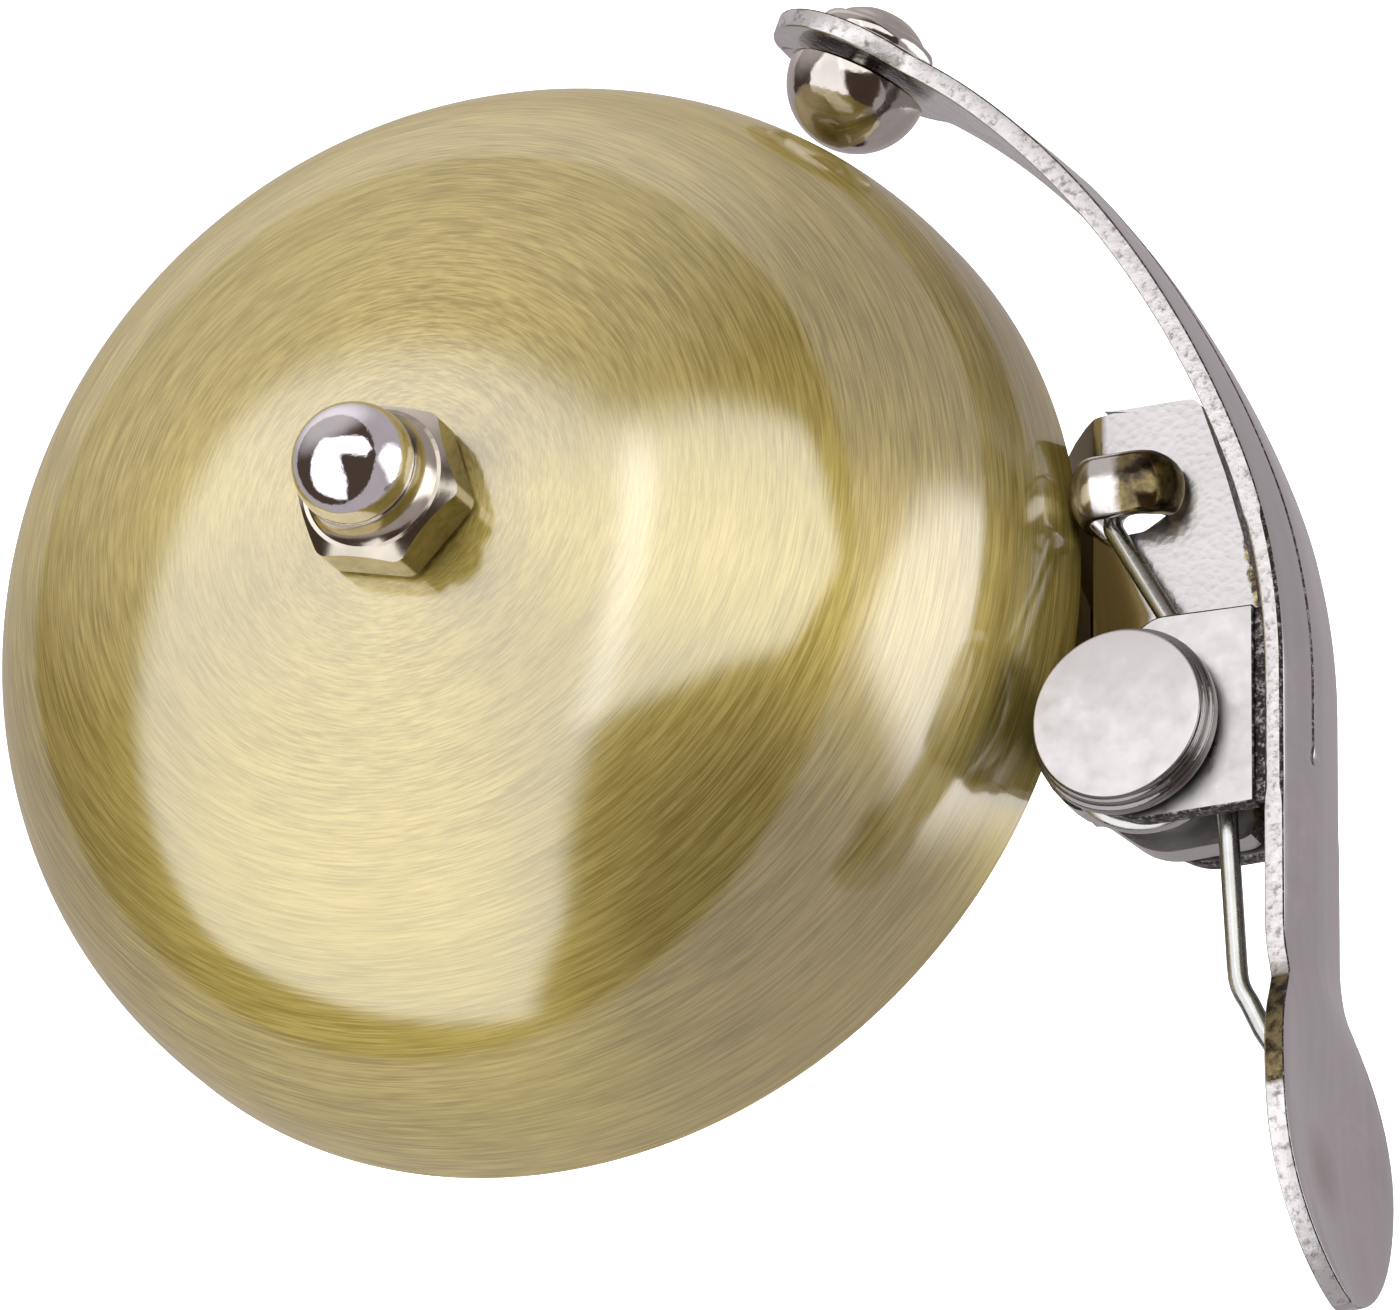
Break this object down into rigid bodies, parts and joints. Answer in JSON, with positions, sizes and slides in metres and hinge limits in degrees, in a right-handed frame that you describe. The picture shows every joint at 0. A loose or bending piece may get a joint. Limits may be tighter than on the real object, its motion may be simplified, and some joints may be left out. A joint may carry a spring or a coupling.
{
  "type": "bicycle bell",
  "caption": "Domed brass bicycle bell with a domed nut on its crown and a sprung thumb lever whose button hammer strikes the rim; strap clamp below for a handlebar.",
  "frame": {"origin": "on the handlebar's axis, in the middle of the clamp's width, under the gong's crown", "axes": "+Y along the handlebar, +Z along the gong's axis away from the handlebar, +X from the gong towards the thumb lever"},
  "size_m": [0.0692, 0.0718, 0.0577],
  "materials": {
    "gong_brass": "brushed in rings round the crown, lacquered",
    "nut_chrome": "polished",
    "nickel_plate": "bright nickel plate on stamped and turned steel",
    "turned_steel": "turned",
    "spring_steel": "drawn, dark",
    "zinc_fastener": "zinc plated",
    "fibre": "vulcanised fibre, matt",
    "liner_rubber": "matt black"
  },
  "bodies": {
    "base": {"acorn_nut": "nut_chrome", "bar_liner": "liner_rubber", "base_bracket": "nickel_plate", "center_post": "turned_steel", "clamp_band": "nickel_plate", "clamp_nut": "zinc_fastener", "clamp_screw": "zinc_fastener", "clamp_spring_washer": "spring_steel", "clamp_washer": "zinc_fastener", "dome": "gong_brass", "dome_washer": "fibre", "hub_washer": "spring_steel", "mounting_screw": "zinc_fastener", "pivot_bush": "turned_steel", "torsion_spring": "spring_steel"},
    "thumb_lever": {"lever": "nickel_plate", "hammer_ball": "nickel_plate", "hammer_rivet": "nickel_plate", "pivot_pin": "nickel_plate", "pin_retainer": "spring_steel", "pin_washer": "turned_steel"}
  },
  "joints": [
    {"name": "lever_pivot", "type": "hinge", "parent": "base", "child": "thumb_lever", "pos_m": [0.03195, -0.0109, 0.01795], "axis": [0, 0, -1], "range_deg": [-0.9, 14], "stiffness_Nm_per_rad": 0.5, "deforming": ["torsion_spring"]}
  ]
}
